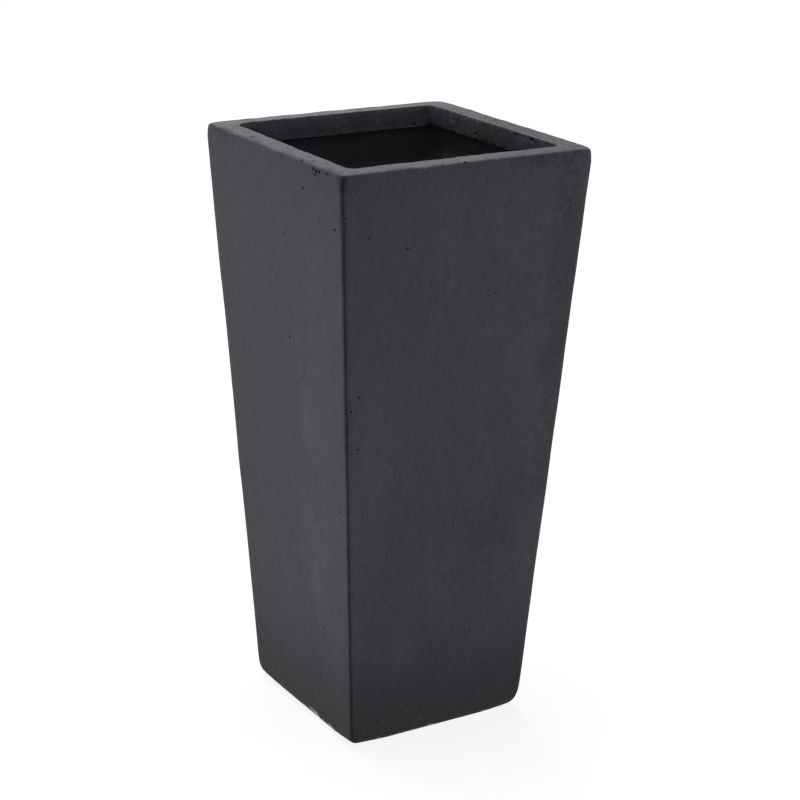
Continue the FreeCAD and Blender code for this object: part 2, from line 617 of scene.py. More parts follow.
# %% Model the plug
STEM = DRAIN_RADIUS - 0.0001  # the stem has a little room in its hole
LEAD_IN = 0.002  # the end of the stem is narrower by this, over the same height
GROOVE_DEPTH = 0.0006
GROOVE_HALF = 0.0012  # half the width of a groove
FLANGE_ROUND = 0.0015  # top edge of the flange
FLANGE_EASE = 0.0004  # bottom edge of the flange
DISH, DISH_DEPTH = 0.0145, 0.0008
BUTTON, BUTTON_TIP = 0.0045, 0.0005  # radius of the button, and of the flat in its middle
ROUND_STEPS = 64

flange = plug_high.x
end, floor, top = plug_low.z, soil_floor, plug_high.z
shoulder = end + LEAD_IN
plug_outline = [(STEM - LEAD_IN, end), (STEM - 0.3 * LEAD_IN, end + 0.55 * LEAD_IN), (STEM, shoulder)]
for share in (1 / 3, 2 / 3):
    groove = shoulder + (floor - shoulder) * share
    plug_outline += [
        (STEM, groove - GROOVE_HALF),
        (STEM - GROOVE_DEPTH, groove - GROOVE_HALF / 2),
        (STEM - GROOVE_DEPTH, groove + GROOVE_HALF / 2),
        (STEM, groove + GROOVE_HALF),
    ]
plug_outline += [(STEM, floor), (flange - FLANGE_EASE, floor), (flange, floor + FLANGE_EASE)]
plug_outline += arc((flange - FLANGE_ROUND, top - FLANGE_ROUND), FLANGE_ROUND, 0, 90, steps=4)
plug_outline += [
    (DISH + DISH_DEPTH, top),
    (DISH, top - DISH_DEPTH),
    (BUTTON + DISH_DEPTH / 2, top - DISH_DEPTH),
    (BUTTON, top - DISH_DEPTH / 2),
    (BUTTON_TIP, top - 0.375 * DISH_DEPTH),
]

clear_selection()
start = plug_outline[0][0]
bpy.ops.mesh.primitive_circle_add(vertices=ROUND_STEPS, radius=start, fill_type="NGON", location=(0, 0, 0))
plug = bpy.context.active_object
plug.name = plug.data.name = "drain_plug_rubber"
bpy.ops.object.mode_set(mode="EDIT")
bpy.ops.transform.translate(value=(0, 0, end))
pick(plug, "FACE", lambda face: True)
bpy.ops.mesh.inset(thickness=0.7 * start)
pick(plug, "EDGE", lambda edge: edge.is_boundary)
draw_up(plug_outline)
bpy.ops.mesh.edge_face_add()
turn_outwards()
close_piece()
print("plug:", len(plug.data.polygons), "faces")

# %% [markdown]
# ## Pits and chips
# Air bubbles against the mould leave small round pits in the skin, and the foot is chipped where the
# planter was set down hard, so that paler cement shows. They are cut with Boolean modifiers, and
# the tools are rough pebbles: little balls that are squashed, shaken and joined in one mesh.

# %% Helpers for the cutting tools
SIDES = {"front": (0, -1), "right": (1, 0), "back": (0, 1), "left": (-1, 0)}


def wall_place(side, across, half, z):
    """A point on a wall: across runs along x on the front and back, and along y on the others."""
    x, y = SIDES[side]
    return Vector((x * half + abs(y) * across, y * half + abs(x) * across, z))


def wall_size(side, along, deep, tall):
    x, y = SIDES[side]
    return Vector((abs(x) * deep + abs(y) * along, abs(y) * deep + abs(x) * along, tall))


def start_tool(name):
    """An empty mesh in edit mode, to which pebbles are added."""
    tool = bpy.data.objects.new(name, bpy.data.meshes.new(name))
    bpy.context.scene.collection.objects.link(tool)
    open_piece(tool)
    return tool


def add_pebble(middle, size, seed, fine=2, rough=0.3):
    bpy.ops.mesh.primitive_ico_sphere_add(subdivisions=fine, radius=1, location=middle)
    bpy.ops.transform.resize(value=size, center_override=middle)
    bpy.ops.transform.vertex_random(offset=rough * min(size), uniform=1, normal=0, seed=seed)


def cut_away(piece, tool, material):
    """Takes the tool's pebbles out of a piece. The new faces get the material."""
    close_piece()
    tool.data.materials.append(material)
    before = len(piece.data.polygons)
    cut = piece.modifiers.new("cut", "BOOLEAN")
    cut.operation = "DIFFERENCE"
    cut.solver = "MANIFOLD"
    cut.material_mode = "TRANSFER"
    cut.object = tool
    apply_all(piece)
    bpy.data.objects.remove(tool)
    return len(piece.data.polygons) - before


# %% [markdown]
# The finishes get their nodes further down, but the cuts already need two of them: the coloured
# cement of the skin, which the pits show too, and the bare cement of the chips.

# %% Name the two cements
charcoal = bpy.data.materials.new("charcoal_skin")
bare = bpy.data.materials.new("bare_cement")


def give_finish(piece, material):
    """Gives a piece this finish alone."""
    piece.data.materials.clear()
    piece.data.materials.append(material)


give_finish(face_coat, charcoal)
print("cements:", charcoal.name, bare.name)

# %% [markdown]
# The pits that can be seen from the front are placed one by one, by wall, place across it, height and
# radius. On the rim they have x, y and a radius instead. The two walls behind get pits from a seeded
# draw, one in each field of a grid.

# %% List the pits
WALL_PITS = [
    ("left", -0.0868, 0.6001, 0.0018), ("left", -0.0924, 0.5989, 0.0020), ("left", -0.0981, 0.5991, 0.0018),
    ("left", -0.0901, 0.5951, 0.0015), ("left", -0.1121, 0.5998, 0.0016), ("left", -0.0650, 0.5773, 0.0016),
    ("left", -0.0206, 0.5231, 0.0016), ("left", -0.0202, 0.4193, 0.0017), ("left", -0.1230, 0.5499, 0.0016),
    ("left", -0.1039, 0.2638, 0.0014), ("left", 0.0650, 0.3350, 0.0010), ("left", -0.0580, 0.1210, 0.0011),
    ("left", -0.0700, 0.0130, 0.0015), ("left", -0.0420, 0.0170, 0.0013),
    ("front", -0.0666, 0.5266, 0.0017), ("front", -0.1081, 0.5411, 0.0014),
    ("front", -0.1109, 0.3853, 0.0016), ("front", -0.1201, 0.3726, 0.0017),
    ("front", -0.1094, 0.3319, 0.0014), ("front", -0.1343, 0.5630, 0.0013),
    ("front", 0.0350, 0.4700, 0.0009), ("front", 0.0820, 0.2200, 0.0010),
    ("front", -0.0730, 0.0270, 0.0012),
]
RIM_PITS = [
    (-0.1304, 0.0538, 0.0017), (-0.1306, -0.0702, 0.0014), (-0.1385, -0.0633, 0.0015),
    (-0.0295, -0.1351, 0.0013), (-0.0068, -0.1380, 0.0016), (0.1311, 0.0195, 0.0015),
    (0.0650, 0.1310, 0.0012),
]
LIP_PITS = [
    ("right", -0.0671, 0.6000, 0.0026), ("right", -0.0530, 0.6005, 0.0017),
    ("right", -0.0389, 0.6002, 0.0020), ("right", -0.0121, 0.5990, 0.0015),
    ("right", 0.0325, 0.5881, 0.0022), ("back", 0.0319, 0.5973, 0.0016), ("back", -0.0901, 0.5985, 0.0014),
    ("back", 0.0160, 0.6020, 0.0013), ("back", 0.0975, 0.6020, 0.0016), ("right", 0.0900, 0.6018, 0.0018),
    ("back", 0.0940, 0.5845, 0.0020), ("back", 0.0700, 0.5838, 0.0015),
]
GRID_ROWS, GRID_COLUMNS, GRID_FOOT, GRID_STEP = 7, 2, 0.05, 0.075

draw = random.Random(7)
for side in ("right", "back"):
    for row in range(GRID_ROWS):
        for column in range(GRID_COLUMNS):
            z = GRID_FOOT + GRID_STEP * row + draw.uniform(0.005, 0.07)
            across = (column - 0.5 + draw.uniform(-0.42, 0.42)) * 0.9 * outside(z)
            WALL_PITS.append((side, across, z, draw.uniform(0.0008, 0.0015)))
print("pits on walls, rim and lip:", len(WALL_PITS), len(RIM_PITS), len(LIP_PITS))

# %% [markdown]
# Each pit is a pebble that is set in the surface and cut away. Most pits are shallow dimples, so their
# pebble stands out of the wall by more than half. Those close under the rim are deeper.

# %% Cut the pits
DEEP_ABOVE = 0.595
SUNK, STANDING_OUT = -0.2, 0.28  # where the middle of a pebble lies, in radii out from the wall
RIM_SINK = 0.0008

tool = start_tool("pit_tool")
for seed, (side, across, z, radius) in enumerate(WALL_PITS):
    stretch = draw.uniform(0.8, 1.4)
    half = outside(z) + (SUNK if z > DEEP_ABOVE else STANDING_OUT) * radius
    add_pebble(wall_place(side, across, half, z), wall_size(side, stretch * radius, radius, radius), seed)
for seed, (x, y, radius) in enumerate(RIM_PITS, start=100):
    add_pebble(Vector((x, y, height - RIM_SINK)), Vector((1.3 * radius, radius, radius)), seed)
for seed, (side, across, z, radius) in enumerate(LIP_PITS, start=200):
    half = mouth(z) + (THIN if side == "back" else 0)
    add_pebble(wall_place(side, across, half, z), wall_size(side, 1.7 * radius, 0.9 * radius, radius), seed)
print("faces added by the pits:", cut_away(face_coat, tool, charcoal))

# %% [markdown]
# The chips lie on the round of the foot, each with its wall, place across it, half length, depth and angle
# below level. A chip is a shallow flake, so its pebble is a large one that only just bites into the round.
# A few nicks sit on the upright edges as well, by the signs of x and y and their height.

# %% Cut the chips and nicks
FOOT_CHIPS = [
    ("left", 0.0000, 0.006, 0.0014, 34), ("left", -0.0210, 0.014, 0.0031, 29),
    ("left", -0.0415, 0.005, 0.0017, 32), ("left", -0.0560, 0.008, 0.0021, 31),
    ("left", -0.0700, 0.005, 0.0015, 34), ("left", 0.0580, 0.005, 0.0009, 38),
    ("front", -0.0050, 0.0050, 0.0010, 42), ("front", -0.0676, 0.0045, 0.0009, 43),
    ("front", 0.0610, 0.005, 0.0007, 46), ("right", 0.0300, 0.008, 0.0013, 42),
    ("right", -0.0520, 0.005, 0.0009, 44), ("back", -0.0410, 0.006, 0.0011, 42),
    ("back", 0.0520, 0.009, 0.0015, 40),
]
FLAKE = 0.009  # radius of the pebble that a chip is cut with
CORNER_NICKS = [
    (-1, -1, 0.2255), (-1, -1, 0.418), (1, -1, 0.330), (1, 1, 0.250), (1, 1, 0.470), (-1, 1, 0.150),
]
NICK = Vector((0.0012, 0.0012, 0.0022))

tool = start_tool("chip_tool")
for seed, (side, across, half_length, depth, below) in enumerate(FOOT_CHIPS, start=300):
    away = BASE_ROUND + FLAKE - depth
    half = foot_middle[0] + away * math.cos(math.radians(below))
    z = foot_middle[1] - away * math.sin(math.radians(below))
    along = half_length / math.sqrt(1 - (1 - depth / FLAKE) ** 2)
    flake = wall_size(side, along, FLAKE, FLAKE)
    add_pebble(wall_place(side, across, half, z), flake, seed, fine=4, rough=0.07)
print("faces added by the chips:", cut_away(face_coat, tool, bare))

tool = start_tool("nick_tool")
for seed, (x, y, z) in enumerate(CORNER_NICKS, start=400):
    corner = outside(z) - 0.3 * EDGE_ROUND
    add_pebble(Vector((x * corner, y * corner, z)), NICK, seed)
print("faces added by the nicks:", cut_away(face_coat, tool, charcoal))

# %% [markdown]
# ## Marks of wear and painted light
# Three values are stored on each point of the skin, for its finish to read. One is high on the rim, where
# rubbing bares pale grit and where the top is painted paler as painted light, and one on the edges. The
# third grows down the lip, and drives painted light at its top and painted shade towards its bottom.

# %% Store the wear on the points
LEFT_THIN = 0.003  # at most, where the left lip gets thinner


# The flat top of the rim gets pale grit, and it is also painted paler there, as painted light from above.
def rim_dust_and_light(point):
    """High on the flat top, and half as high along its outer edge."""
    from_edge = outside(point.z) - reach(point)
    if from_edge < RIM_WIDTH + 0.004:
        return fade(height - point.z - 0.0008, 0.0028) * (1.0 - 0.5 * fade(from_edge - 0.0015, 0.008))
    return 0.0


def edge_wear(point):
    """Highest along the inner edge of the rim, then on the upright edges, then along the outer edge."""
    from_walls = sorted((outside(point.z) - abs(point.x), outside(point.z) - abs(point.y)))
    corner = fade(from_walls[1], 0.007)
    rim = fade(abs(from_walls[0]), 0.006) * fade(height - point.z, 0.006)
    inner_rim = fade(abs(from_walls[0] - RIM_WIDTH), 0.005) * fade(height - point.z, 0.005)
    return max(0.5 * corner, 0.4 * rim, 0.8 * inner_rim)


def lip_depth(point):
    """0 at the top of the lip and 1 at its bottom."""
    thinned = THIN if point.y > LIP_SIDE else LEFT_THIN if point.x < -LIP_SIDE else 0.0
    gap = outside(point.z) - reach(point) + thinned
    on_lip = gap > RIM_WIDTH - 2 * SLACK and point.z > lip_under - 3 * SLACK
    return max(0.0, height - SLACK - point.z) / (height - lip_under) if on_lip else 0.0


for name, value_of in (("rim_dust_and_light", rim_dust_and_light), ("edge_wear", edge_wear), ("lip_depth", lip_depth)):
    values = [value_of(point.co) for point in face_coat.data.vertices]
    layer = face_coat.data.attributes.new(name, "FLOAT", "POINT")
    layer.data.foreach_set("value", values)
    print(f"{name}: {sum(values) / len(values):.3f} on average")

# %% [markdown]
# ## Finishes
# A finish is a tree of nodes. Short helpers add a node, reckon with values and mix colours, so that each
# tree below reads from top to bottom. All patterns are solid textures on Object coordinates, in metres.

# %% Helpers for nodes
def add_node(tree, kind, values=None, **settings):
    """Adds a shader node, sets its own settings, and fills its inputs with values or links."""
    made = tree.nodes.new("ShaderNode" + kind)
    for name, value in settings.items():
        setattr(made, name, value)
    for name, value in (values or {}).items():
        if isinstance(value, bpy.types.NodeSocket):
            tree.links.new(value, made.inputs[name])
        else:
            made.inputs[name].default_value = value
    return made


def reckon(tree, operation, a, b=0.0):
    return add_node(tree, "Math", {0: a, 1: b}, operation=operation).outputs[0]


def times(tree, a, b):
    return reckon(tree, "MULTIPLY", a, b)


def total(tree, *terms):
    """Adds up (value, weight) pairs."""
    summed = None
    for value, weight in terms:
        term = times(tree, value, weight)
        summed = term if summed is None else reckon(tree, "ADD", summed, term)
    return summed


def spread(tree, value, low, high, to_low=0.0, to_high=1.0, curve="SMOOTHSTEP"):
    """Maps a value from one range to another, and stops at its ends."""
    ends = {"Value": value, "From Min": low, "From Max": high, "To Min": to_low, "To Max": to_high}
    return add_node(tree, "MapRange", ends, interpolation_type=curve).outputs[0]


def between(tree, value, at_0, at_1):
    """A straight line between two numbers, for a value from 0 to 1."""
    return spread(tree, value, 0, 1, at_0, at_1, "LINEAR")


def blend(tree, share, a, b, kind="MIX"):
    """Mixes two colours, which are sockets 6 and 7 of a Mix node. Its third output is the result."""
    return add_node(tree, "Mix", {0: share, 6: a, 7: b}, data_type="RGBA", blend_type=kind).outputs[2]


def cover(tree, colour, mask, amount, over):
    """Lays another colour over a colour where the mask is, at a certain strength."""
    return blend(tree, times(tree, mask, amount), colour, over)


def tint(tree, colour, value):
    """Makes a colour darker or paler by a value."""
    grey = add_node(tree, "CombineColor", {0: value, 1: value, 2: value}).outputs[0]
    return blend(tree, 1.0, colour, grey, "MULTIPLY")


# %% [markdown]
# An effect that several finishes use is a node group. It is built once, and each finish places it with
# its own values. Most groups start from noise or from the cells of a Voronoi texture.

# %% Helpers for node groups
def start_group(name, inputs, outputs):
    """A node group with named sockets. None stands for a vector. Gives its tree, inputs and outputs."""
    tree = bpy.data.node_groups.new(name, "ShaderNodeTree")
    for label, value in inputs.items():
        kind = "NodeSocketVector" if value is None else "NodeSocketFloat"
        socket = tree.interface.new_socket(label, in_out="INPUT", socket_type=kind)
        if value is not None:
            socket.default_value = value
    for label in outputs:
        tree.interface.new_socket(label, in_out="OUTPUT", socket_type="NodeSocketFloat")
    return tree, tree.nodes.new("NodeGroupInput").outputs, tree.nodes.new("NodeGroupOutput").inputs


def use_group(tree, group, **values):
    return add_node(tree, "Group", values, node_tree=group).outputs


def inverse(tree, length):
    return reckon(tree, "DIVIDE", 1.0, length)


def noise(tree, place, scale, detail, roughness):
    values = {"Vector": place, "Scale": scale, "Detail": detail, "Roughness": roughness}
    return add_node(tree, "TexNoise", values).outputs[0]


def some_cells(tree, given, size):
    """Voronoi cells: the distance from their middles, a mask of the chosen share, and a random number."""
    values = {"Vector": given["Vector"], "Scale": inverse(tree, size)}
    cells = add_node(tree, "TexVoronoi", values).outputs
    chance = add_node(tree, "SeparateColor", {0: cells["Color"]}).outputs
    chosen = reckon(tree, "LESS_THAN", chance[0], given["Share"])
    return cells["Distance"], chosen, chance[1]


# %% [markdown]
# Cement dries unevenly, so its grey drifts in soft clouds. The group gives such clouds at any length,
# and each finish adds up several of them.

# %% Group: clouds
clouds_group, given, result = start_group("cement_clouds", {"Vector": None, "Length": 0.1}, ["Value"])
cloud = noise(clouds_group, given["Vector"], inverse(clouds_group, given["Length"]), 3.0, 0.55)
clouds_group.links.new(spread(clouds_group, cloud, 0.3, 0.7), result["Value"])


def clouds_of(tree, spot, length):
    return use_group(tree, clouds_group, Vector=spot, Length=length)["Value"]


# %% [markdown]
# The wet colour coat is brushed up and down, and that leaves fine upright marks. They are noise that is
# squeezed sideways and stretched along the height.

# %% Group: brush marks
brush_inputs = {"Vector": None, "Spacing": 0.002, "Length": 0.06}
brush_group, given, result = start_group("brush_marks", brush_inputs, ["Value"])
across = inverse(brush_group, given["Spacing"])
along = inverse(brush_group, given["Length"])
squeeze = add_node(brush_group, "CombineXYZ", {"X": across, "Y": across, "Z": along}).outputs[0]
factors = {0: given["Vector"], 1: squeeze}
place = add_node(brush_group, "VectorMath", factors, operation="MULTIPLY").outputs[0]
stroke = noise(brush_group, place, 1.0, 2.0, 0.6)
brush_group.links.new(spread(brush_group, stroke, 0.3, 0.7), result["Value"])

# %% [markdown]
# Under the brush marks the sand of the cement shows as a fine grain, with a few paler flecks.
# Noise gives the grain. The cells of a Voronoi texture give the flecks, and a random number in each
# cell decides which of them is a fleck.

# %% Group: sand grain
grain_inputs = {"Vector": None, "Size": 0.001, "Share": 0.1}
grain_group, given, result = start_group("sand_grain", grain_inputs, ["Height", "Fleck"])
grain = noise(grain_group, given["Vector"], inverse(grain_group, given["Size"]), 2.0, 0.6)
distance, chosen, _ = some_cells(grain_group, given, given["Size"])
dot = spread(grain_group, distance, 0.45, 0.2)
grain_group.links.new(spread(grain_group, grain, 0.25, 0.75), result["Height"])
grain_group.links.new(times(grain_group, chosen, dot), result["Fleck"])

# %% [markdown]
# Besides the pits that are cut, the skin is full of pinholes too small to model. They are dots in
# Voronoi cells again, deep in the bump. Their dark colour is painted shade in the holes.

# %% Group: pinholes
pin_inputs = {"Vector": None, "Spacing": 0.012, "Size": 0.0006, "Share": 0.3}
pin_group, given, result = start_group("pinholes", pin_inputs, ["Hole"])
distance, chosen, chance = some_cells(pin_group, given, given["Spacing"])
width = times(pin_group, given["Size"], between(pin_group, chance, 0.5, 1.3))
inside = reckon(pin_group, "LESS_THAN", times(pin_group, distance, given["Spacing"]), width)
pin_group.links.new(times(pin_group, chosen, inside), result["Hole"])

# %% [markdown]
# Wear is never even. The group takes a stored value of the points and breaks it up with noise, so that
# the paler edge comes and goes.

# %% Group: broken wear
wear_inputs = {"Vector": None, "Wear": 0.0, "Length": 0.01}
wear_group, given, result = start_group("broken_wear", wear_inputs, ["Mask"])
breaks = noise(wear_group, given["Vector"], inverse(wear_group, given["Length"]), 4.0, 0.65)
breaks = spread(wear_group, breaks, 0.25, 0.75, -0.5, 0.5, "LINEAR")
level = reckon(wear_group, "ADD", given["Wear"], breaks)
wear_group.links.new(spread(wear_group, level, 0.3, 0.9), result["Mask"])

# %% [markdown]
# Soft marks make the colour darker or paler in certain places. Some are scuffs and pale specks, and
# others are painted shade and painted light. The group gives such a mark: the distance from its middle,
# divided by its size in each direction and roughened by a broken pattern.

# %% Group: soft marks
mark_inputs = {"Vector": None, "Middle": None, "Size": None, "Breaks": 0.5}
mark_group, given, result = start_group("soft_mark", mark_inputs, ["Mask"])
apart = {0: given["Vector"], 1: given["Middle"]}
apart = add_node(mark_group, "VectorMath", apart, operation="SUBTRACT").outputs[0]
apart = add_node(mark_group, "VectorMath", {0: apart, 1: given["Size"]}, operation="DIVIDE").outputs[0]
apart = add_node(mark_group, "VectorMath", {0: apart}, operation="LENGTH").outputs["Value"]
apart = reckon(mark_group, "ADD", apart, between(mark_group, given["Breaks"], -0.45, 0.45))
mark_group.links.new(spread(mark_group, apart, 1.1, 0.1), result["Mask"])
print("node groups:", {group.name: len(group.nodes) for group in bpy.data.node_groups})

# %% [markdown]
# ## Charcoal cement
# The finish of the whole outside is a matte dark grey with a hint of violet. Its patterns come first:
# clouds at four lengths, brush marks, sand, pinholes, and the wear and painted light that were stored
# on the points.

# %% Charcoal cement: patterns
def start_tree(owner):
    """Empties the node tree of a material or a world, and gives it."""
    owner.use_nodes = True
    owner.node_tree.nodes.clear()
    return owner.node_tree


def start_finish(material):
    """Gives the tree of a material, its shader and the Object coordinates."""
    tree = start_tree(material)
    shader = add_node(tree, "BsdfPrincipled")
    tree.links.new(shader.outputs[0], add_node(tree, "OutputMaterial").inputs[0])
    return tree, shader, add_node(tree, "TexCoord").outputs["Object"]


def stored(tree, name):
    return add_node(tree, "Attribute", attribute_name=name).outputs["Fac"]


def height_of(tree, spot):
    return add_node(tree, "SeparateXYZ", {0: spot}).outputs["Z"]


tree, shader, spot = start_finish(charcoal)
broad = clouds_of(tree, spot, 0.17)
middle = clouds_of(tree, spot, 0.045)
small = clouds_of(tree, spot, 0.0085)
speckle = clouds_of(tree, spot, 0.0030)
fine_brush = use_group(tree, brush_group, Vector=spot, Spacing=0.0030, Length=0.045)["Value"]
wide_brush = use_group(tree, brush_group, Vector=spot, Spacing=0.009, Length=0.16)["Value"]
grain = use_group(tree, grain_group, Vector=spot, Size=0.0011, Share=0.05)
hole = use_group(tree, pin_group, Vector=spot, Spacing=0.014, Size=0.0007, Share=0.35)["Hole"]
dust_and_light = use_group(tree, wear_group, Vector=spot, Wear=stored(tree, "rim_dust_and_light"), Length=0.02)["Mask"]
worn = use_group(tree, wear_group, Vector=spot, Wear=stored(tree, "edge_wear"), Length=0.006)["Mask"]
rise_up = height_of(tree, spot)
near_ground = spread(tree, rise_up, 0.0024, 0.0003)
sole = use_group(tree, wear_group, Vector=spot, Wear=near_ground, Length=0.012)["Mask"]
tone = total(tree, (broad, 0.26), (middle, 0.24), (small, 0.28), (fine_brush, 0.05), (wide_brush, 0.17))
mottle = total(tree, (speckle, 0.65), (small, 0.35))
breaks = total(tree, (middle, 0.5), (small, 0.5))
print("charcoal:", len(tree.nodes), "nodes for the patterns")

# %% [markdown]
# Soft marks are listed with a middle, a size and a shade, which is above 1 where the mark is paler. The
# shade of the whole skin is the product of these with a darker foot, a strip of painted shade under the
# rim, and a lip that is blotched, with painted light at its top and painted shade towards its bottom.

# %% Charcoal cement: shade
# Marks of tone, scuffs and pale specks, and also painted shade and painted light, which are marked below.
WALL_MARKS_AND_PAINTED_LIGHT = [
    ((-0.1236, -0.043, 0.350), (0.04, 0.020, 0.07), 1.13),
    ((-0.1207, -0.090, 0.290), (0.06, 0.085, 0.30), 1.32),
    ((-0.1136, -0.046, 0.194), (0.04, 0.030, 0.08), 1.16),
    ((-0.1335, 0.086, 0.503), (0.04, 0.030, 0.05), 1.06),
    # painted shade in a band just under the rim, on the left wall
    ((-0.1390, -0.095, 0.599), (0.03, 0.050, 0.012), 0.80),
    # painted shade along the far edge of the left wall
    ((-0.1300, 0.115, 0.300), (0.05, 0.075, 0.42), 0.93),
    ((0.0670, -0.118, 0.265), (0.05, 0.050, 0.10), 0.88),
    ((0.0350, -0.112, 0.175), (0.06, 0.050, 0.09), 0.88),
    ((-0.0550, -0.107, 0.099), (0.03, 0.040, 0.035), 1.20),
    # painted shade just under the rim, at the right end of the front wall
    ((0.0850, -0.139, 0.598), (0.05, 0.020, 0.011), 0.70),
    ((-0.0340, -0.138, 0.575), (0.045, 0.030, 0.025), 1.10),
    ((-0.0640, -0.124, 0.355), (0.05, 0.040, 0.10), 1.08),
    ((0.0900, -0.138, 0.520), (0.06, 0.030, 0.08), 0.93),
    # painted shade in a band just under the rim, at the back of the left wall
    ((-0.1390, 0.105, 0.599), (0.03, 0.050, 0.012), 0.82),
    # painted shade along the far edge of the front wall, and painted light on the back lip
    ((0.1180, -0.128, 0.420), (0.03, 0.040, 0.25), 0.78), ((0.0, 0.120, 0.593), (0.20, 0.012, 0.03), 1.30),
    # painted shade along the near edge of the front wall
    ((-0.1150, -0.125, 0.360), (0.03, 0.040, 0.25), 0.92),
    # painted shade on the right lip
    ((0.115, -0.02, 0.593), (0.016, 0.30, 0.06), 0.58),
    ((-0.1324, 0.0005, 0.4863), (0.02, 0.0028, 0.0028), 1.75),
    ((-0.1316, 0.0105, 0.4737), (0.02, 0.0030, 0.0030), 1.55),
    # painted shade at the top of the near upright edge
    ((-0.1390, -0.1390, 0.594), (0.010, 0.010, 0.011), 0.55),
]
# Painted light on the rim: paler along the back, and darker to the right and at the front right, as the
# light falls.
RIM_PAINTED_LIGHT = [
    ((0.0, 0.131, 0.604), (0.20, 0.03, 0.02), 1.45), ((0.128, -0.030, 0.604), (0.03, 0.13, 0.02), 0.70),
    ((0.090, -0.130, 0.604), (0.10, 0.03, 0.02), 0.82), ((-0.020, -0.130, 0.604), (0.10, 0.03, 0.02), 1.06),
]
FOOT_SHADE, FOOT_TOP = 0.47, 0.16  # the shade at the ground, and the height where it ends
# The strip under the rim is painted shade.
STRIP, STRIP_SHADE = 0.10, 0.20  # height of the darker strip under the rim, and how much darker it gets
LIP_TOP = 0.08  # share of the lip's depth over which the shade of the lip sets in
# The lip is painted paler than the walls as painted light, and darker towards its bottom as painted shade.
LIP_PAINTED_LIGHT = 2.24  # the whole lip is this much paler than the walls
LIP_PALE, LIP_DARK = 1.25, 0.40  # and this is how its shade runs, from top to bottom
BLOTCH = 0.22  # how much paler or darker its blotches are


def shade_by_marks(tree, spot, breaks, marks, start):
    """Multiplies a value by the shade of each mark."""
    for place, size, strength in marks:
        mark = use_group(tree, mark_group, Vector=spot, Middle=place, Size=size, Breaks=breaks)["Mask"]
        start = times(tree, start, between(tree, mark, 1.0, strength))
    return start


# Painted shade in a strip under the rim, darkest at the top.
near_rim = spread(tree, rise_up, height - STRIP, height, 0, 1, "LINEAR")
strip = reckon(tree, "SUBTRACT", 1.0, times(tree, times(tree, near_rim, near_rim), STRIP_SHADE))
shade = times(tree, spread(tree, rise_up, 0.0, FOOT_TOP, FOOT_SHADE, 1.0), strip)
# Painted light at the top of the lip and painted shade towards its bottom, with real blotches.
lip_value = stored(tree, "lip_depth")
shade = times(tree, shade, spread(tree, lip_value, 0.0, LIP_TOP, 1.0, LIP_PAINTED_LIGHT))
shade = times(tree, shade, spread(tree, lip_value, LIP_TOP, 1.0, LIP_PALE, LIP_DARK, "LINEAR"))
blotch = times(tree, spread(tree, lip_value, 0.0, LIP_TOP), between(tree, mottle, -BLOTCH, BLOTCH))
shade = times(tree, shade, reckon(tree, "ADD", blotch, 1.0))
wall_shade = shade_by_marks(tree, spot, breaks, WALL_MARKS_AND_PAINTED_LIGHT, shade)
rim_painted_light = shade_by_marks(tree, spot, breaks, RIM_PAINTED_LIGHT, 1.0)
print("soft marks on walls and rim:", len(WALL_MARKS_AND_PAINTED_LIGHT), len(RIM_PAINTED_LIGHT))

# %% [markdown]
# The colour is put together in order: the shaded grey, pale grit on the rim with its painted light, wear
# on the edges, flecks, pinholes painted dark as painted shade, and dust under the foot last. The same
# patterns drive the roughness and the bump, in metres.

# %% Charcoal cement: colour, roughness and bump
CHARCOAL = (0.0325, 0.0313, 0.0376, 1), (0.0528, 0.0509, 0.0612, 1)
# The pale end of the rim's grey is partly pale grit and partly painted light on the top of the rim.
RIM_GRIT_AND_LIGHT = (0.052, 0.0503, 0.0575, 1), (0.140, 0.1365, 0.1515, 1)
WORN_EDGE = (0.125, 0.124, 0.126, 1)
SAND_FLECK = (0.16, 0.16, 0.16, 1)
# Pinholes are painted this dark, as painted shade in the holes.
PINHOLE_SHADE = (0.012, 0.012, 0.013, 1)
FLOOR_DUST = (0.23, 0.215, 0.20, 1)


def set_finish(tree, shader, colour, roughness, bump_height, mirror=0.5):
    """Links colour, roughness and a bump in metres, and sets how much the surface mirrors."""
    bump = add_node(tree, "Bump", {"Height": bump_height, "Strength": 1.0, "Distance": 1.0}).outputs[0]
    for name, value in (("Base Color", colour), ("Roughness", roughness), ("Normal", bump)):
        tree.links.new(value, shader.inputs[name])
    shader.inputs["Specular IOR Level"].default_value = mirror


colour = tint(tree, blend(tree, tone, *CHARCOAL), wall_shade)
# Pale grit and painted light on the rim, tinted by the painted light across the rim.
colour = cover(tree, colour, dust_and_light, 0.9, tint(tree, blend(tree, mottle, *RIM_GRIT_AND_LIGHT), rim_painted_light))
colour = cover(tree, colour, worn, 0.22, WORN_EDGE)
colour = cover(tree, colour, grain["Fleck"], 0.40, SAND_FLECK)
# Painted shade in the pinholes.
colour = blend(tree, hole, colour, PINHOLE_SHADE)
colour = cover(tree, colour, sole, 0.5, FLOOR_DUST)
roughness = total(tree, (tone, 0.14), (grain["Height"], 0.08), (dust_and_light, 0.04), (1.0, 0.66))
bump = total(tree, (middle, 0.0005), (fine_brush, 0.00004), (small, 0.00022), (speckle, 0.00012),
             (grain["Height"], 0.00016), (hole, -0.0006))
set_finish(tree, shader, colour, roughness, bump, mirror=0.15)
print("charcoal:", len(tree.nodes), "nodes in all")

# %% [markdown]
# ## The other finishes
# Chips show bare cement: the same sand, without the colour. The trowelled backing is mixed with the same
# colour as the skin and never brushed, so it has coarser grain, pale lime stains and larger holes, which
# are painted dark as painted shade. Towards the lip it is painted paler, as painted light in the shade
# under the lip.

